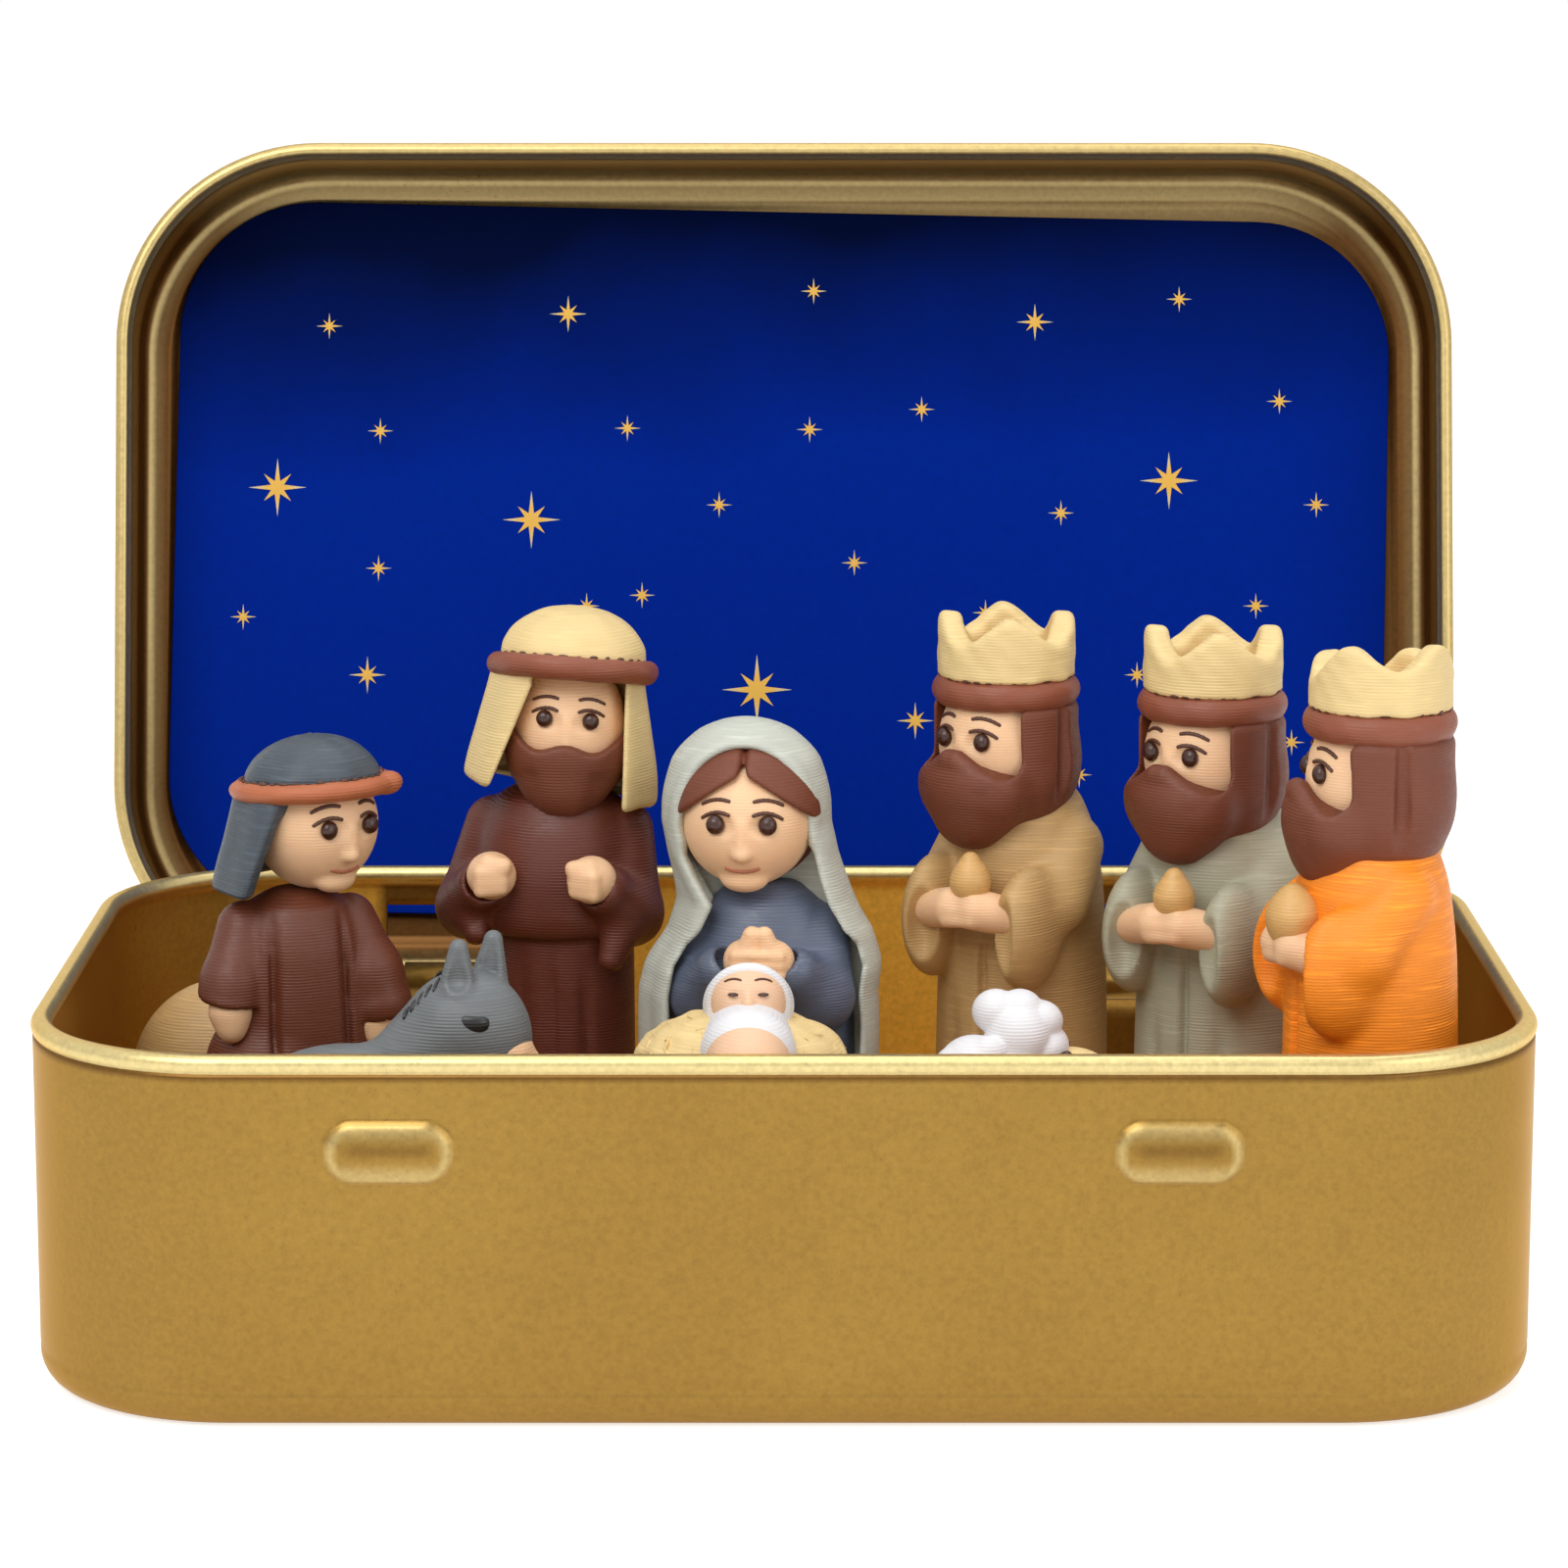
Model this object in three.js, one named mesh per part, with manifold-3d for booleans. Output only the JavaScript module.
// Pocket nativity tin: a hinged gold tin standing open, with a star card inside the lid
// and a set of small printed figures standing on the floor of the base.
// Millimetres, +Z up, the viewer on the -Y side, the origin under the middle of the base.
import * as THREE from "three";
import { mergeVertices } from "three/addons/utils/BufferGeometryUtils.js";
import Module from "manifold-3d";

const wasm = await Module();
wasm.setup();

// Tin
const BASE_WIDTH = 94.4;
const BASE_DEPTH = 58.0;
const BASE_HEIGHT = 23.6;
const CORNER_RADIUS = 13.0;
const SHEET = 0.45;
const RIM_ROLL = 0.6;
const BUMP_LENGTH = 8.0;
const BUMP_HEIGHT = 4.0;
const BUMP_RISE = 0.45;
const BUMP_SPACING = 48.0;
const BUMP_BELOW_RIM = 6.0;

// Lid
const LID_SIDE_CLEARANCE = 0.45;
const LID_END_CLEARANCE = 0.75;
const LID_TOP_CLEARANCE = 0.4;
const LID_SKIRT = 8.9;
const LID_HEM = 0.45;
const LID_PANEL_RISE = 0.4;
const LID_PANEL_INSET = 3.0;
const LID_OPEN_ANGLE = THREE.MathUtils.degToRad(103);

// Hinge
const HINGE_SPACING = 44.0;
const HINGE_WINDOW_WIDTH = 12.8;
const HINGE_WINDOW_HEIGHT = 7.6;
const HINGE_HEIGHT = 14.8;
const HINGE_STANDOFF = 1.3;
const HINGE_BAR_RADIUS = 0.6;
const HINGE_CLEARANCE = 0.3;
const HINGE_TONGUE_WIDTH = 10.6;

// Star card
const CARD_MARGIN = 2.7;
const CARD_CORNER = 10.0;
const CARD_THICKNESS = 0.35;
const CARD_SHIFT = -0.4;
const CARD_TILT = THREE.MathUtils.degToRad(1.2);

// Figures: places on the floor, turns about the vertical, overall heights, and how far a
// king's body stands off its head
const FIGURE_GAP = 0.3;
const FOOT_GAP = 0.05;
const across = (share) => share * BASE_WIDTH / 2;
const back = (share) => share * BASE_DEPTH / 2;
const SHEPHERD = { x: across(-0.648), y: back(-0.12), turn: 20, headTurn: 22, height: 38.4 };
const FATHER = { x: across(-0.309), y: back(0.14), turn: -12, headTurn: 12, height: 45.6 };
const MOTHER = { x: across(-0.034), y: back(-0.172), turn: -6, headTurn: 0, height: 39.7 };
const KING_TAN = { x: across(0.309), y: back(0.055), turn: -32, headTurn: -12, height: 45.9,
  sway: [0.6, 0.38] };
const KING_SAGE = { x: across(0.589), y: back(-0.086), turn: -32, headTurn: -12, height: 46.1,
  sway: [0.25, 0.16] };
const KING_ORANGE = { x: across(0.789), y: back(-0.517), turn: -68, headTurn: -14, height: 46.7,
  sway: [-0.3, -0.7] };
const MANGER = { x: across(-0.051), y: back(-0.69), turn: 0 };
const DONKEY = { x: across(-0.53), y: back(-0.672), turn: 0 };
const SHEEP = { x: across(0.28), y: back(-0.672), turn: 0 };
const OX = { x: across(-0.788), y: back(0.324), turn: 0 };

// Heights that the figure outlines below are drawn to, before they are scaled to `height`
const KING_DRAWN = 45.5;
const FATHER_DRAWN = 45.9;
const MOTHER_DRAWN = 39.7;
const SHEPHERD_DRAWN = 38.4;

// Filament and sheet colours
const GOLD = { color: "#b08d4c", roughness: 0.35, metalness: 0.9 };
const CARD_BLUE = { color: "#06278a", roughness: 0.55, metalness: 0 };
const plastic = (color) => ({ color, roughness: 0.6, metalness: 0 });
const SKIN = plastic("#efbd95");
const BROWN = plastic("#6e3a28");
const DARK_BROWN = plastic("#5a2c1d");
const BAND_BROWN = plastic("#96553c");
const TERRACOTTA = plastic("#c3704f");
const CREAM = plastic("#e3c283");
const SLATE = plastic("#5f6973");
const SAGE_WHITE = plastic("#bec3b4");
const DRESS_BLUE = plastic("#5f667d");
const TAN = plastic("#bf9760");
const SAGE = plastic("#96917a");
const ORANGE = plastic("#f28418");
const GREY = plastic("#73767a");
const WHITE = plastic("#f0eef0");

const object = new THREE.Group();

// Closed-mesh helpers

function toSolid(geometry) {
  const bare = geometry.index ? geometry.toNonIndexed() : geometry.clone();
  const positions = new THREE.BufferGeometry();
  positions.setAttribute("position", bare.getAttribute("position"));
  const welded = mergeVertices(positions, 1e-4);
  const mesh = new wasm.Mesh({
    numProp: 3,
    vertProperties: new Float32Array(welded.attributes.position.array),
    triVerts: new Uint32Array(welded.index.array),
  });
  mesh.merge();
  return new wasm.Manifold(mesh);
}

function toGeometry(solid) {
  const mesh = solid.getMesh();
  const geometry = new THREE.BufferGeometry();
  geometry.setAttribute("position", new THREE.BufferAttribute(mesh.vertProperties, mesh.numProp));
  geometry.setIndex(new THREE.BufferAttribute(mesh.triVerts, 1));
  geometry.computeVertexNormals();
  return geometry;
}

const join = (...shapes) => toGeometry(shapes.map(toSolid).reduce((sum, next) => sum.add(next)));

const cut = (shape, ...tools) =>
  toGeometry(tools.map(toSolid).reduce((left, tool) => left.subtract(tool), toSolid(shape)));

const common = (a, b) => toGeometry(toSolid(a).intersect(toSolid(b)));

const box = (width, depth, height, x, y, z) =>
  new THREE.BoxGeometry(width, depth, height).translate(x, y, z);

// An ellipsoid with its radii and centre.
function ball([rx, ry, rz], [x, y, z], grow = 0, around = 10, down = 6) {
  const sphere = new THREE.SphereGeometry(1, around, down).rotateX(Math.PI / 2);
  return sphere.scale(rx + grow, ry + grow, rz + grow).translate(x, y, z);
}

// A solid of revolution about Z from [radius, height] pairs, squeezed front to back.
function turned(profile, squeeze = 1, grow = 0, around = 12) {
  const last = profile.length - 1;
  const points = profile.map(([radius, height], i) => {
    const end = i === 0 ? -grow : i === last ? grow : 0;
    return new THREE.Vector2(radius === 0 ? 0 : radius + grow, height + end);
  });
  const solid = new THREE.LatheGeometry(points, around).rotateX(Math.PI / 2);
  return solid.scale(1, squeeze, 1);
}

// A round-ended limb between two points, tapering from one radius to the other.
function limb(from, to, fromRadius, toRadius, grow = 0, around = 8) {
  const start = new THREE.Vector3(...from);
  const along = new THREE.Vector3(...to).sub(start);
  const length = along.length();
  const a = fromRadius + grow;
  const b = toRadius + grow;
  const profile = [
    [0, -a], [a * 0.72, -a * 0.7], [a, 0],
    [b, length], [b * 0.72, length + b * 0.7], [0, length + b],
  ].map(([radius, height]) => new THREE.Vector2(radius, height));
  const swing = new THREE.Quaternion().setFromUnitVectors(
    new THREE.Vector3(0, 1, 0), along.normalize());
  return new THREE.LatheGeometry(profile, around)
    .applyQuaternion(swing)
    .translate(start.x, start.y, start.z);
}

// A rounded rectangle drawn inwards by `inset` from its outer size, as points round the corners.
function roundedRing(halfWidth, halfDepth, radius, inset, perCorner = 5) {
  const points = [];
  const r = Math.max(radius - inset, 0.5);
  const quarters = [[1, 1], [-1, 1], [-1, -1], [1, -1]];
  quarters.forEach(([sx, sy], quarter) => {
    for (let step = 0; step <= perCorner; step += 1) {
      const angle = (quarter + step / perCorner) * Math.PI / 2;
      points.push([
        sx * (halfWidth - inset - r) + r * Math.cos(angle),
        sy * (halfDepth - inset - r) + r * Math.sin(angle),
      ]);
    }
  });
  return points;
}

// A pressed pan: rings of [inset, height] joined in order, the first and last closed flat.
function pressedPan(halfWidth, halfDepth, radius, profile) {
  const rings = profile.map(([inset, z]) =>
    roundedRing(halfWidth, halfDepth, radius, inset).map(([x, y]) => [x, y, z]));
  const count = rings[0].length;
  const positions = rings.flat(2);
  const triangles = [];
  rings.slice(1).forEach((_, ring) => {
    for (let i = 0; i < count; i += 1) {
      const a = ring * count + i;
      const b = ring * count + (i + 1) % count;
      triangles.push(a, b, b + count, a, b + count, a + count);
    }
  });
  const top = (rings.length - 1) * count;
  for (let i = 1; i < count - 1; i += 1) {
    triangles.push(0, i + 1, i);
    triangles.push(top, top + i, top + i + 1);
  }
  const geometry = new THREE.BufferGeometry();
  geometry.setAttribute("position", new THREE.Float32BufferAttribute(positions, 3));
  geometry.setIndex(triangles);
  return geometry;
}

// Adds a named piece to a group.
function place(group, name, geometry, finish) {
  const piece = new THREE.Mesh(geometry, new THREE.MeshStandardMaterial(finish));
  piece.name = name;
  group.add(piece);
  return piece;
}

// A group standing on the floor of the tin at a figure's place.
function standing({ x, y, turn }) {
  const group = new THREE.Group();
  group.position.set(x, y, SHEET + FOOT_GAP);
  group.rotation.z = THREE.MathUtils.degToRad(turn);
  object.add(group);
  return group;
}

// The hinge line and the sizes that the base and the lid share
const baseHalf = { x: BASE_WIDTH / 2, y: BASE_DEPTH / 2 };
const lidHalf = {
  x: baseHalf.x + LID_SIDE_CLEARANCE + SHEET,
  y: baseHalf.y + LID_END_CLEARANCE + SHEET,
};
const lidRadius = CORNER_RADIUS + LID_END_CLEARANCE + SHEET;
const hingeY = baseHalf.y + HINGE_STANDOFF;
const curlInner = HINGE_BAR_RADIUS + HINGE_CLEARANCE;
const curlOuter = curlInner + SHEET;
const hingeSides = [-HINGE_SPACING / 2, HINGE_SPACING / 2];

function basePan() {
  const rimTop = BASE_HEIGHT;
  const rollMiddle = rimTop - RIM_ROLL;
  const profile = [
    [2.0, 0], [0.6, 0.35], [0, 1.6],
    [0, rollMiddle], [RIM_ROLL * 0.3, rimTop - RIM_ROLL * 0.3], [RIM_ROLL, rimTop],
    [RIM_ROLL * 1.7, rimTop - RIM_ROLL * 0.3], [RIM_ROLL * 2, rollMiddle],
    [RIM_ROLL * 1.7, rollMiddle - RIM_ROLL * 0.7], [SHEET, rollMiddle - RIM_ROLL * 1.3],
    [SHEET, 1.8], [SHEET + 0.6, SHEET + 0.4], [SHEET + 2.0, SHEET],
  ];
  let pan = pressedPan(baseHalf.x, baseHalf.y, CORNER_RADIUS, profile);
  const windowBottom = HINGE_HEIGHT - curlOuter - HINGE_CLEARANCE;
  hingeSides.forEach((x) => {
    const opening = box(HINGE_WINDOW_WIDTH, 4, HINGE_WINDOW_HEIGHT,
      x, baseHalf.y, windowBottom + HINGE_WINDOW_HEIGHT / 2);
    const bar = new THREE.CylinderGeometry(HINGE_BAR_RADIUS, HINGE_BAR_RADIUS,
      HINGE_WINDOW_WIDTH + 1, 12).rotateZ(Math.PI / 2).translate(x, hingeY, HINGE_HEIGHT);
    const lugs = [-1, 1].map((side) => box(
      1, HINGE_STANDOFF + HINGE_BAR_RADIUS + SHEET * 0.8, HINGE_BAR_RADIUS * 2,
      x + side * (HINGE_WINDOW_WIDTH + 1) / 2,
      hingeY - (HINGE_STANDOFF + SHEET * 0.8 - HINGE_BAR_RADIUS) / 2,
      HINGE_HEIGHT));
    pan = join(cut(pan, opening), bar, ...lugs);
  });
  const bumps = [-1, 1].map((side) => frontBump(side * BUMP_SPACING / 2));
  return join(pan, ...bumps);
}

// A long round-ended bump pressed out of the front wall.
function frontBump(x) {
  const half = (BUMP_LENGTH - BUMP_HEIGHT) / 2;
  const z = BASE_HEIGHT - BUMP_BELOW_RIM;
  const ends = [-half, half].map((dx) => ball(
    [BUMP_HEIGHT / 2, BUMP_RISE + SHEET / 2, BUMP_HEIGHT / 2],
    [x + dx, -baseHalf.y + SHEET / 2, z], 0, 12, 8));
  const middle = new THREE.CylinderGeometry(1, 1, half * 2, 12).rotateZ(Math.PI / 2)
    .scale(1, BUMP_RISE + SHEET / 2, BUMP_HEIGHT / 2).translate(x, -baseHalf.y + SHEET / 2, z);
  const inside = box(BUMP_LENGTH + 2, 4, BUMP_HEIGHT + 2, x, -baseHalf.y + SHEET * 0.8 + 2, z);
  return cut(join(...ends, middle), inside);
}

// The lid as it sits when shut, drawn about the hinge line.
function lidPan() {
  const ceiling = BASE_HEIGHT + LID_TOP_CLEARANCE;
  const edge = ceiling + SHEET - LID_SKIRT;
  const step = LID_PANEL_INSET;
  const outer = [
    [SHEET, edge + 0.2], [SHEET * 0.3, edge], [-LID_HEM * 0.6, edge + 0.1],
    [-LID_HEM, edge + 0.5], [-LID_HEM * 0.7, edge + 0.95], [0, edge + 1.3],
    [0, ceiling - 1.1], [0.4, ceiling], [1.4, ceiling + SHEET],
    [step + SHEET - 0.7, ceiling + SHEET], [step + SHEET, ceiling + SHEET + LID_PANEL_RISE],
  ];
  const inner = [
    [SHEET, edge - 5], [SHEET, ceiling - 1.2], [SHEET + 0.35, ceiling - 0.4],
    [SHEET + 1.15, ceiling], [step - 0.7, ceiling], [step, ceiling + LID_PANEL_RISE],
  ];
  const shell = cut(
    pressedPan(lidHalf.x, lidHalf.y, lidRadius, outer),
    pressedPan(lidHalf.x, lidHalf.y, lidRadius, inner));
  const backRelief = box(HINGE_SPACING + HINGE_WINDOW_WIDTH + 4, 6, 4,
    0, lidHalf.y + 1.5, HINGE_HEIGHT + curlOuter - 2);
  const curls = hingeSides.map((x) => hingeCurl().translate(x, hingeY, HINGE_HEIGHT));
  const tongues = hingeSides.map((x) => box(HINGE_TONGUE_WIDTH, SHEET, 1.4,
    x, lidHalf.y - SHEET / 2, HINGE_HEIGHT + curlOuter + 0.3));
  return join(cut(shell, backRelief), ...tongues, ...curls)
    .translate(0, -hingeY, -HINGE_HEIGHT);
}

// The tongue's curl round the hinge bar, open towards the back and below.
function hingeCurl() {
  const ring = new THREE.Shape();
  const start = THREE.MathUtils.degToRad(-60);
  const end = THREE.MathUtils.degToRad(250);
  ring.absarc(0, 0, curlOuter, start, end, false);
  ring.absarc(0, 0, curlInner, end, start, true);
  const curl = new THREE.ExtrudeGeometry(ring,
    { depth: HINGE_TONGUE_WIDTH, bevelEnabled: false, curveSegments: 14 });
  return curl.translate(0, 0, -HINGE_TONGUE_WIDTH / 2).rotateY(Math.PI / 2).rotateX(Math.PI / 2);
}

function starCard() {
  const ceiling = BASE_HEIGHT + LID_TOP_CLEARANCE;
  const profile = [[0, 0], [0, CARD_THICKNESS]];
  return pressedPan(baseHalf.x - CARD_MARGIN, baseHalf.y - CARD_MARGIN, CARD_CORNER, profile)
    .rotateZ(CARD_TILT)
    .translate(0, CARD_SHIFT - hingeY, ceiling - FIGURE_GAP - CARD_THICKNESS - HINGE_HEIGHT);
}

place(object, "base_pan", basePan(), GOLD);
const lid = new THREE.Group();
lid.position.set(0, hingeY, HINGE_HEIGHT);
lid.rotation.x = -LID_OPEN_ANGLE;
object.add(lid);
place(lid, "lid_pan", lidPan(), GOLD);
place(lid, "star_card", starCard(), CARD_BLUE);

// Figures, each drawn facing the viewer with its feet at z = 0

// Turns the pieces of a head about the figure's own axis.
const headGroup = (group, { headTurn }) => {
  const head = new THREE.Group();
  head.rotation.z = THREE.MathUtils.degToRad(headTurn);
  group.add(head);
  return head;
};

// A face block: the part of an egg-shaped head below the line of the headband.
function headBlock(radii, centre, bandLine, grow = 0) {
  const egg = ball(radii, centre, grow, 12, 8);
  const above = box(20, 20, 20, 0, 0, bandLine + grow + 10);
  return cut(egg, above);
}

// A padded band or a flat cap: a disc with a round edge.
const roundDisc = (radius, bottom, top) => {
  const middle = (bottom + top) / 2;
  const edge = (top - bottom) / 2;
  return turned([
    [0, bottom], [radius - edge * 0.5, bottom], [radius, middle], [radius - edge * 0.5, top], [0, top],
  ], 1, 0, 16);
};

// The domed top of a headcloth.
const dome = (radius, bottom, top) => {
  const rise = top - bottom;
  return turned([
    [0, bottom], [radius * 0.97, bottom], [radius, bottom + rise * 0.2],
    [radius * 0.86, bottom + rise * 0.56], [radius * 0.52, bottom + rise * 0.88], [0, top],
  ], 1, 0, 14);
};

// A crown: a ring whose top edge rises to four rounded points.
function crownRing(radius, thickness, bottom, dip, point) {
  const around = 24;
  const positions = [];
  const triangles = [];
  for (let i = 0; i < around; i += 1) {
    const angle = (i / around) * Math.PI * 2;
    const wave = (1 - Math.cos(4 * angle)) / 2;
    const top = dip + (point - dip) * wave;
    const flare = 1 + 0.03 * wave;
    const [cos, sin] = [Math.cos(angle), Math.sin(angle)];
    const inner = radius - thickness;
    positions.push(radius * cos, radius * sin, bottom);
    positions.push(radius * flare * cos, radius * flare * sin, top);
    positions.push(inner * flare * cos, inner * flare * sin, top);
    positions.push(inner * cos, inner * sin, bottom);
    const next = ((i + 1) % around) * 4;
    for (let k = 0; k < 4; k += 1) {
      const [a, b] = [i * 4 + k, i * 4 + (k + 1) % 4];
      const [c, d] = [next + k, next + (k + 1) % 4];
      triangles.push(a, c, d, a, d, b);
    }
  }
  const geometry = new THREE.BufferGeometry();
  geometry.setAttribute("position", new THREE.Float32BufferAttribute(positions, 3));
  geometry.setIndex(triangles);
  return geometry;
}

// A pair of sleeves from shoulder to cuff, mirrored left and right.
const sleeves = ([shoulder, shoulderRadius], [cuff, cuffRadius], grow = 0) =>
  [-1, 1].map((side) => {
    const mirror = ([x, y, z]) => [side * x, y, z];
    return limb(mirror(shoulder), mirror(cuff), shoulderRadius, cuffRadius, grow);
  });

function king(prefix, spec, robeFinish) {
  const group = standing(spec);
  const head = headGroup(group, spec);
  const k = spec.height / KING_DRAWN;
  const up = ([x, y, z]) => [x, y, z * k];
  const line = (profile) => profile.map(([r, z]) => [r, z * k]);
  const bandBottom = 39.2 * k;
  const bandTop = 41.2 * k;
  const sway = [...spec.sway, 0];

  const gown = (grow) => join(
    turned(line([[0, 0], [5.9, 0], [5.8, 10], [5.7, 18], [5.5, 25], [5.0, 29.5], [4.2, 32.6],
      [2.8, 34.2], [0, 34.4]]), 0.97, grow).translate(0, 0.9, 0),
    ...sleeves([up([3.8, 0.6, 29.6]), 2.3], [up([4.1, -3.0, 23.2]), 2.6], grow)).translate(...sway);
  const forearms = (grow) => join(
    ...[-1, 1].map((side) => limb(up([side * 3.3, -5.0, 26.5]), up([side * 0.8, -6.5, 26.9]),
      1.3, 1.45, grow))).translate(...sway);
  const face = (grow) => headBlock([4.05, 4.1, 4.6 * k], up([0, -0.5, 36.8]),
    bandBottom - FIGURE_GAP, grow);
  const hairOutline = line([[0, 31.2], [3.0, 31.5], [4.4, 33], [4.9, 35], [4.9, 38.9], [0, 38.9]]);
  const beard = (grow) => join(
    turned(hairOutline, 1, grow),
    ball([4.2, 3.2, 3.6 * k], up([0, -2.9, 34.2]), grow));
  const faceWindow = box(6.8, 6, 4.4 * k, 0, -4, 37.8 * k);
  const present = ball([1.3, 1.3, 1.9], up([0, -6.6, 29.2])).translate(...sway);

  const hair = cut(beard(0), face(FIGURE_GAP), faceWindow);
  const turnedBeard = beard(FIGURE_GAP).rotateZ(head.rotation.z);
  const robe = cut(gown(0), forearms(FIGURE_GAP), turnedBeard);
  place(group, `${prefix}_robe`, robe, robeFinish);
  place(group, `${prefix}_hands`, cut(forearms(0), turnedBeard), SKIN);
  place(group, `${prefix}_gift`, cut(present, forearms(FIGURE_GAP), turnedBeard), CREAM);
  place(head, `${prefix}_face`, face(0), SKIN);
  place(head, `${prefix}_beard`, hair, BROWN);
  place(head, `${prefix}_band`, roundDisc(5.0, bandBottom, bandTop), BAND_BROWN);
  place(head, `${prefix}_crown`,
    crownRing(4.4, 1.0, bandTop + FIGURE_GAP * 0.5, 43.7 * k, KING_DRAWN * k), CREAM);
}

function father(spec) {
  const group = standing(spec);
  const head = headGroup(group, spec);
  const k = spec.height / FATHER_DRAWN;
  const up = ([x, y, z]) => [x, y, z * k];
  const line = (profile) => profile.map(([r, z]) => [r, z * k]);
  const bandBottom = 40.8 * k;
  const bandTop = 43.0 * k;

  const gown = (grow) => join(
    turned(line([[0, 0], [5.0, 0], [4.7, 10], [4.6, 23.2], [5.5, 24], [5.7, 27.5], [5.2, 30.6],
      [4.0, 33], [0, 33.8]]), 0.85, grow),
    ...sleeves([up([4.5, 0.2, 30.4]), 2.0], [up([5.4, -1.8, 24.4]), 2.3], grow));
  const fist = (side, grow) => ball([1.7, 1.7, 1.7], up([side * 3.4, -5.0, 28.5]), grow);
  const face = (grow) => headBlock([3.8, 3.8, 4.8 * k], up([0, -0.4, 37.8]),
    bandBottom - FIGURE_GAP, grow);
  const beardEgg = (grow) => ball([4.1, 3.5, 4.2 * k], up([0, -1.7, 36.6]), grow, 12, 8);
  const faceWindow = box(12, 12, 8, 0, -2, 37.2 * k + 4);
  const behind = box(12, 6, 20, 0, 3.6, 36 * k);
  const beard = cut(beardEgg(0), face(FIGURE_GAP), faceWindow, behind);

  const wrap = turned(line([[0, 33.4], [6.0, 33.4], [6.2, 34.6], [5.5, 38], [5.1, 40.5], [0, 40.5]]),
    0.92);
  const wrapFront = box(7.4, 10, 20, 0, -5.6, 37 * k);
  const cloth = cut(wrap, face(FIGURE_GAP), beardEgg(FIGURE_GAP), wrapFront,
    gown(FIGURE_GAP).rotateZ(-head.rotation.z));

  const turnedBeard = beardEgg(FIGURE_GAP).rotateZ(head.rotation.z);
  const turnedFace = face(FIGURE_GAP).rotateZ(head.rotation.z);
  place(group, "father_robe",
    cut(gown(0), fist(-1, FIGURE_GAP), fist(1, FIGURE_GAP), turnedBeard, turnedFace), DARK_BROWN);
  place(group, "father_hand_right", fist(-1, 0), SKIN);
  place(group, "father_hand_left", fist(1, 0), SKIN);
  place(head, "father_face", face(0), SKIN);
  place(head, "father_beard", beard, BROWN);
  place(head, "father_headcloth", cloth, CREAM);
  place(head, "father_band", roundDisc(5.7, bandBottom, bandTop), BAND_BROWN);
  place(head, "father_cap", dome(4.8, bandTop + FIGURE_GAP * 0.5, spec.height), CREAM);
}

function mother(spec) {
  const group = standing(spec);
  const head = headGroup(group, spec);
  const k = spec.height / MOTHER_DRAWN;
  const up = ([x, y, z]) => [x, y, z * k];
  const line = (profile) => profile.map(([r, z]) => [r, z * k]);

  const gown = (grow) => join(
    turned(line([[0, 0], [6.2, 0], [6.0, 12], [5.8, 20], [5.2, 24.4], [3.8, 27.4], [0, 28.4]]),
      0.82, grow),
    ...sleeves([up([4.2, 0, 25]), 1.9], [up([2.7, -4.6, 23.8]), 1.8], grow));
  const clasp = (grow) => join(
    ...[-1, 1].map((side) => ball([1.5, 1.3, 1.8], up([side * 0.9, -5.6, 25.0]), grow)));
  const faceEgg = (grow) => ball([4.2, 4.1, 4.2], up([-0.6, -1.2, 33.2]), grow, 12, 8);
  const hairEgg = (grow) => ball([4.75, 4.6, 4.7], up([-0.6, -0.7, 33.6]), grow, 12, 8);
  const parting = (side) => new THREE.BoxGeometry(9, 9, 7).translate(0, 0, -3.5)
    .rotateY(side * 0.62).translate(-0.6, -5.2, 36.7 * k);
  const hair = cut(hairEgg(0), faceEgg(FIGURE_GAP), common(parting(-1), parting(1)));

  const cloak = turned(line([[0, 0], [7.4, 0], [7.6, 10], [7.75, 19], [7.5, 23.5], [5.8, 28],
    [5.6, 33.6], [4.9, 36.8], [3.2, 38.7], [0, MOTHER_DRAWN]]), 0.84).translate(-0.5, 0.3, 0);
  const hoodOpening = ball([4.9, 7.2, 6.4], up([-0.6, -6.4, 32.2]), 0, 12, 8);
  const frontOpening = box(20, 10, 28.5 * k, 0, -6.4, 14.25 * k - 0.5);
  const veil = cut(cloak, hoodOpening, frontOpening, hairEgg(FIGURE_GAP), faceEgg(FIGURE_GAP),
    gown(FIGURE_GAP));

  place(group, "mother_dress", cut(gown(0), clasp(FIGURE_GAP), faceEgg(FIGURE_GAP),
    hairEgg(FIGURE_GAP)), DRESS_BLUE);
  place(group, "mother_hands", clasp(0), SKIN);
  place(head, "mother_face", faceEgg(0), SKIN);
  place(head, "mother_hair", hair, BROWN);
  place(head, "mother_veil", veil, SAGE_WHITE);
}

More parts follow.
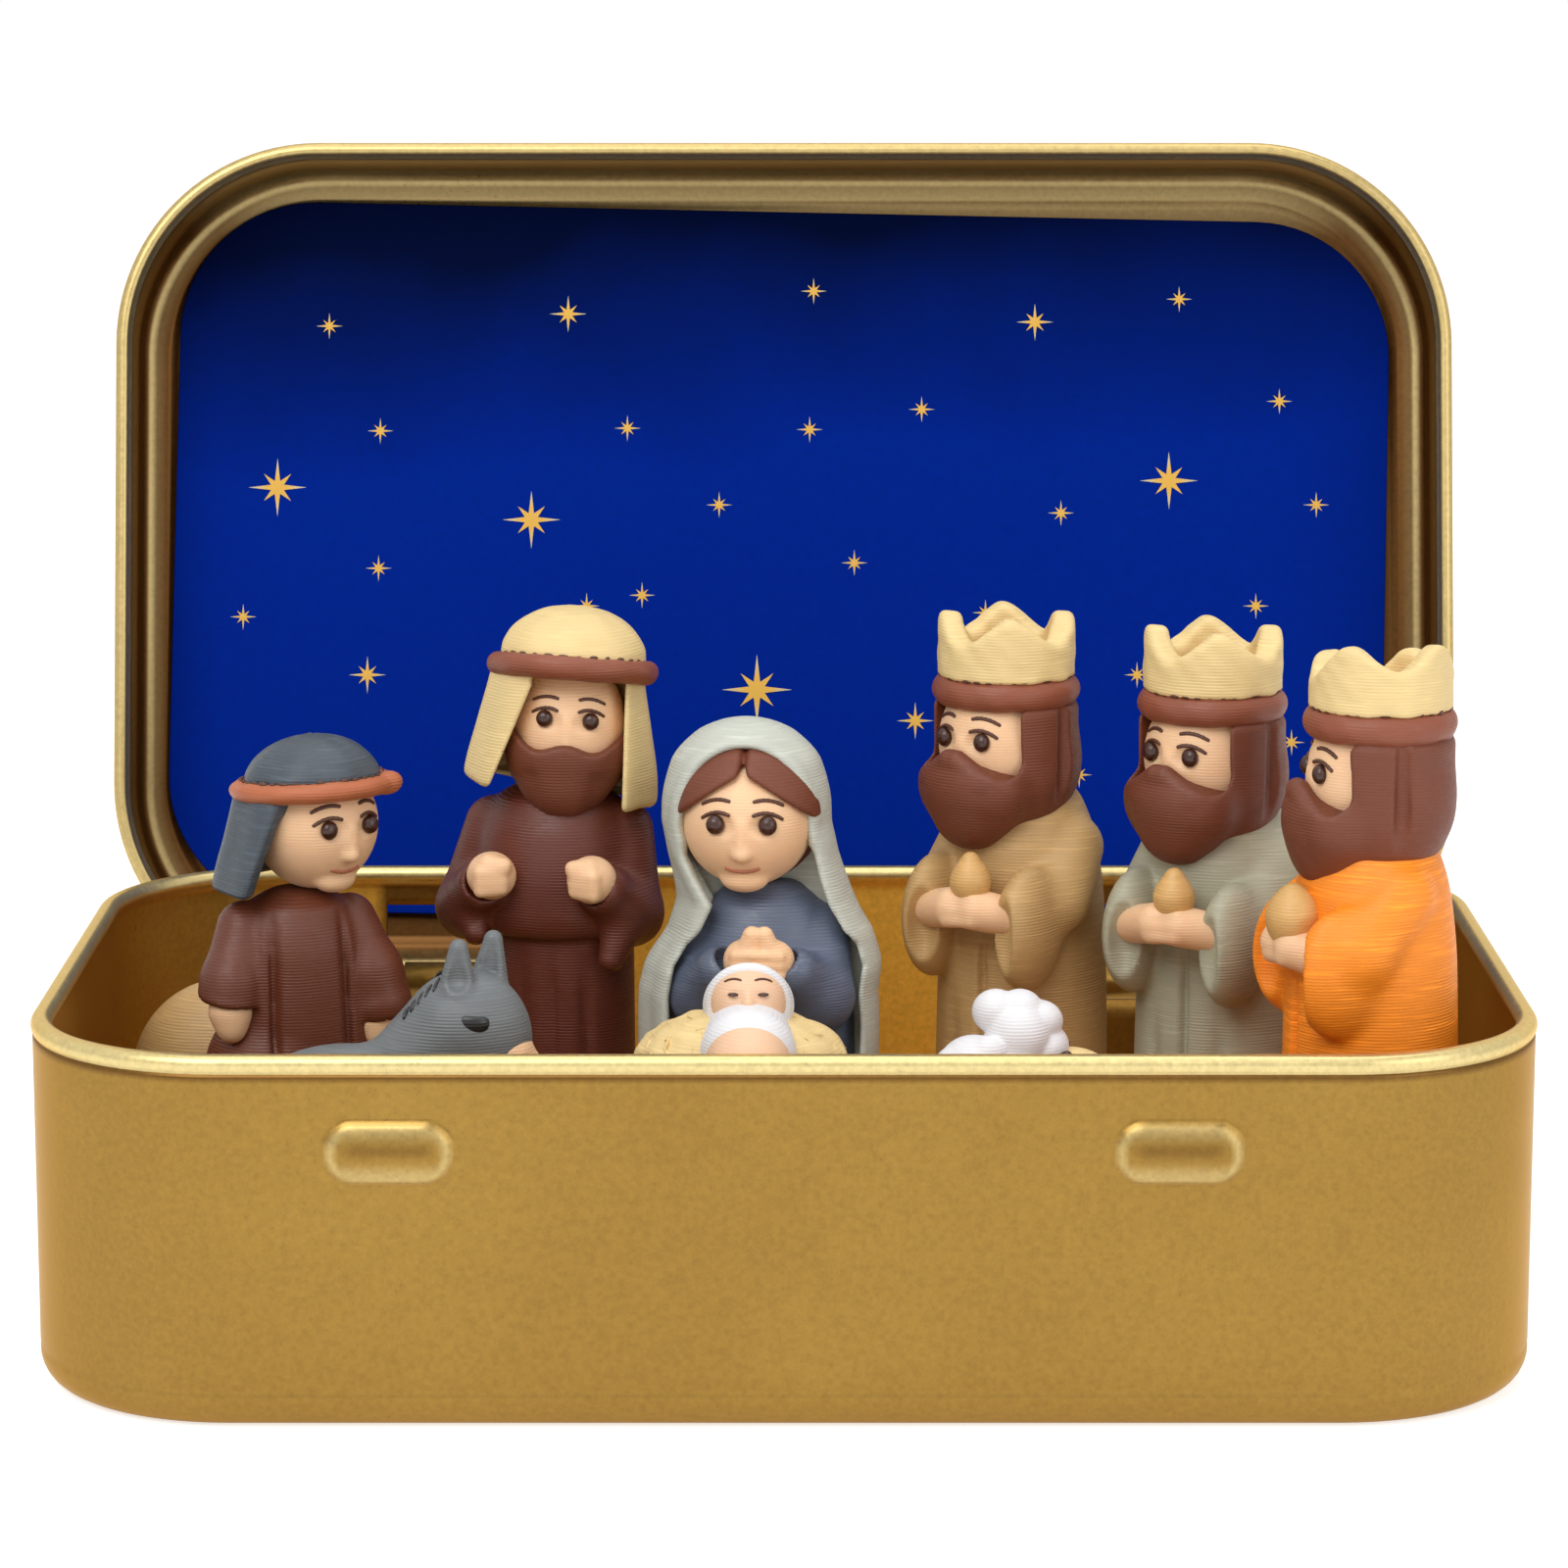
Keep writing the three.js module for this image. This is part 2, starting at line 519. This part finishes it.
function shepherd(spec) {
  const group = standing(spec);
  const head = headGroup(group, spec);
  const k = spec.height / SHEPHERD_DRAWN;
  const up = ([x, y, z]) => [x, y, z * k];
  const line = (profile) => profile.map(([r, z]) => [r, z * k]);
  const bandBottom = 34.2 * k;
  const bandTop = 35.6 * k;

  const gown = (grow) => join(
    turned(line([[0, 0], [5.6, 0], [5.3, 10], [5.0, 18], [4.5, 24], [3.4, 27.2], [0, 28]]),
      0.85, grow),
    ...sleeves([up([3.7, 0, 25.6]), 1.8], [up([4.7, -1.3, 22.6]), 2.0], grow)).translate(-1.2, 0, 0);
  const fist = (side, grow) => ball([1.4, 1.4, 1.7], up([side * 5.0 - 1.2, -1.9, 20.2]), grow);
  const face = (grow) => headBlock([4.1, 4.1, 4.3], up([0, -0.2, 32.6]),
    bandBottom - FIGURE_GAP, grow);
  const turnedFace = face(FIGURE_GAP).rotateZ(head.rotation.z);
  const fall = cut(
    turned(line([[0, 28.4], [6.3, 28.4], [6.3, 29.6], [5.2, 33.9], [0, 33.9]]), 1),
    face(FIGURE_GAP), box(20, 20, 20, 0, -10 - 0.4, 31 * k),
    gown(FIGURE_GAP).rotateZ(-head.rotation.z));

  place(group, "shepherd_robe",
    cut(gown(0), fist(-1, FIGURE_GAP), fist(1, FIGURE_GAP), turnedFace), BROWN);
  place(group, "shepherd_hand_right", fist(-1, 0), SKIN);
  place(group, "shepherd_hand_left", fist(1, 0), SKIN);
  place(head, "shepherd_face", face(0), SKIN);
  place(head, "shepherd_headcloth", fall, SLATE);
  place(head, "shepherd_band", roundDisc(5.4, bandBottom, bandTop), TERRACOTTA);
  place(head, "shepherd_cap", dome(4.5, bandTop + FIGURE_GAP * 0.5, spec.height), SLATE);
}

// A trough of hay on a low crib, with the infant wrapped up on it, feet towards the viewer.
function manger(spec) {
  const group = standing(spec);
  const blanketWrap = (grow) => limb([0.2, -4.1, 21.7], [0.2, -4.9, 21.3], 2.7, 2.6, grow);
  const bundle = (grow) => join(
    ball([2.9, 2.5, 2.8], [0.2, 1.0, 24.2], grow, 12, 8),
    limb([0.2, 0.8, 22.8], [0.2, -3.2, 22.1], 2.6, 3.0, grow));
  const crib = cut(
    join(
      new THREE.CylinderGeometry(6.0, 4.6, 9, 4, 1).rotateX(Math.PI / 2)
        .rotateZ(Math.PI / 4).scale(1.3, 1.1, 1).translate(0, 0, 14),
      ...[-1, 1].flatMap((sx) => [-1, 1].map((sy) =>
        box(1.8, 1.8, 11, sx * 3.2, sy * 2.6, 5.5)))),
    blanketWrap(FIGURE_GAP), bundle(FIGURE_GAP));
  const hayMound = (grow) => ball([7.3, 5.2, 3.2], [-0.3, 0.4, 20.7 + FIGURE_GAP], grow, 12, 8);
  const hay = cut(hayMound(0), box(30, 30, 10, 0, 0, 18.5 + FIGURE_GAP - 5));
  const headBall = (grow) => ball([2.35, 2.0, 2.3], [0.2, -0.3, 24.4], grow, 12, 8);
  const wrap = cut(bundle(0), headBall(FIGURE_GAP), blanketWrap(FIGURE_GAP),
    box(5.2, 3.6, 2.4, 0.2, -2.2, 26.2));
  place(group, "manger_crib", crib, TAN);
  place(group, "manger_hay", cut(hay, bundle(FIGURE_GAP), blanketWrap(FIGURE_GAP)), CREAM);
  place(group, "infant_wrap", wrap, WHITE);
  place(group, "infant_face", cut(headBall(0), blanketWrap(FIGURE_GAP)), SKIN);
  place(group, "infant_blanket", blanketWrap(0), SKIN);
}

// Four stubby legs under an animal.
const legs = (reach, spread, radius, height) =>
  [-1, 1].flatMap((sx) => [-1, 1].map((sy) =>
    new THREE.CylinderGeometry(radius, radius, height, 6).rotateX(Math.PI / 2)
      .translate(sx * reach, sy * spread, height / 2)));

function donkey(spec) {
  const group = standing(spec);
  const snout = (grow) => ball([2.3, 1.9, 2.0], [8.2, 0, 19.6], grow, 12, 8);
  const ears = [-1, 1].map((side) =>
    limb([5.6 + side * 1.0, side * 1.2, 25], [5.9 + side * 1.1, side * 1.3, 28.6], 1.0, 0.6));
  const body = join(
    ball([8.0, 4.2, 6.2], [-2.2, 0, 15.4]),
    limb([0.8, 0, 18.0], [4.6, 0, 22.2], 3.1, 3.0),
    ball([3.8, 3.0, 4.4], [5.6, 0, 22.0]),
    ...ears,
    ...legs(5.0, 2.3, 1.5, 13).map((leg) => leg.translate(-2.2, 0, 0)));
  place(group, "donkey_body", cut(body, snout(FIGURE_GAP)), GREY);
  place(group, "donkey_muzzle", snout(0), SKIN);
}

function sheep(spec) {
  const group = standing(spec);
  const snout = (grow) => ball([2.5, 1.6, 1.5], [4.6, 0.9, 19.7], grow, 12, 8);
  const fleece = join(
    ball([5.6, 4.2, 5.8], [-0.8, -0.6, 15.6]),
    ball([2.4, 2.4, 2.2], [-1.4, -1.0, 20.3]),
    limb([0.6, 0.4, 18.5], [1.5, 0.9, 21.8], 3.0, 2.9),
    ball([1.5, 1.7, 1.4], [0.2, 0.9, 23.6]),
    ball([1.5, 1.7, 1.3], [2.6, 0.9, 22.8]),
    ...legs(3.0, 2.0, 1.3, 12).map((leg) => leg.translate(-0.8, -0.6, 0)));
  place(group, "sheep_fleece", cut(fleece, snout(FIGURE_GAP)), WHITE);
  place(group, "sheep_muzzle", snout(0), CREAM);
}

function ox(spec) {
  const group = standing(spec);
  const snout = (grow) => ball([1.7, 1.9, 1.6], [8.6, 0, 14.8], grow, 12, 8);
  const horns = [-1, 1].map((side) =>
    limb([6.2, side * 1.8, 18.2], [6.4, side * 3.2, 20.0], 0.7, 0.45));
  const body = join(
    ball([6.6, 4.4, 6.8], [-0.6, 0, 12.4]),
    ball([2.9, 2.7, 3.0], [6.0, 0, 16.2]),
    limb([2.6, 0, 14], [5.6, 0, 16], 2.8, 2.2),
    ...horns,
    ...legs(3.8, 2.3, 1.5, 10).map((leg) => leg.translate(-0.6, 0, 0)));
  place(group, "ox_body", cut(body, snout(FIGURE_GAP)), TAN);
  place(group, "ox_muzzle", snout(0), SKIN);
}

shepherd(SHEPHERD);
father(FATHER);
mother(MOTHER);
king("king_tan", KING_TAN, TAN);
king("king_sage", KING_SAGE, SAGE);
king("king_orange", KING_ORANGE, ORANGE);
manger(MANGER);
donkey(DONKEY);
sheep(SHEEP);
ox(OX);

export default object;
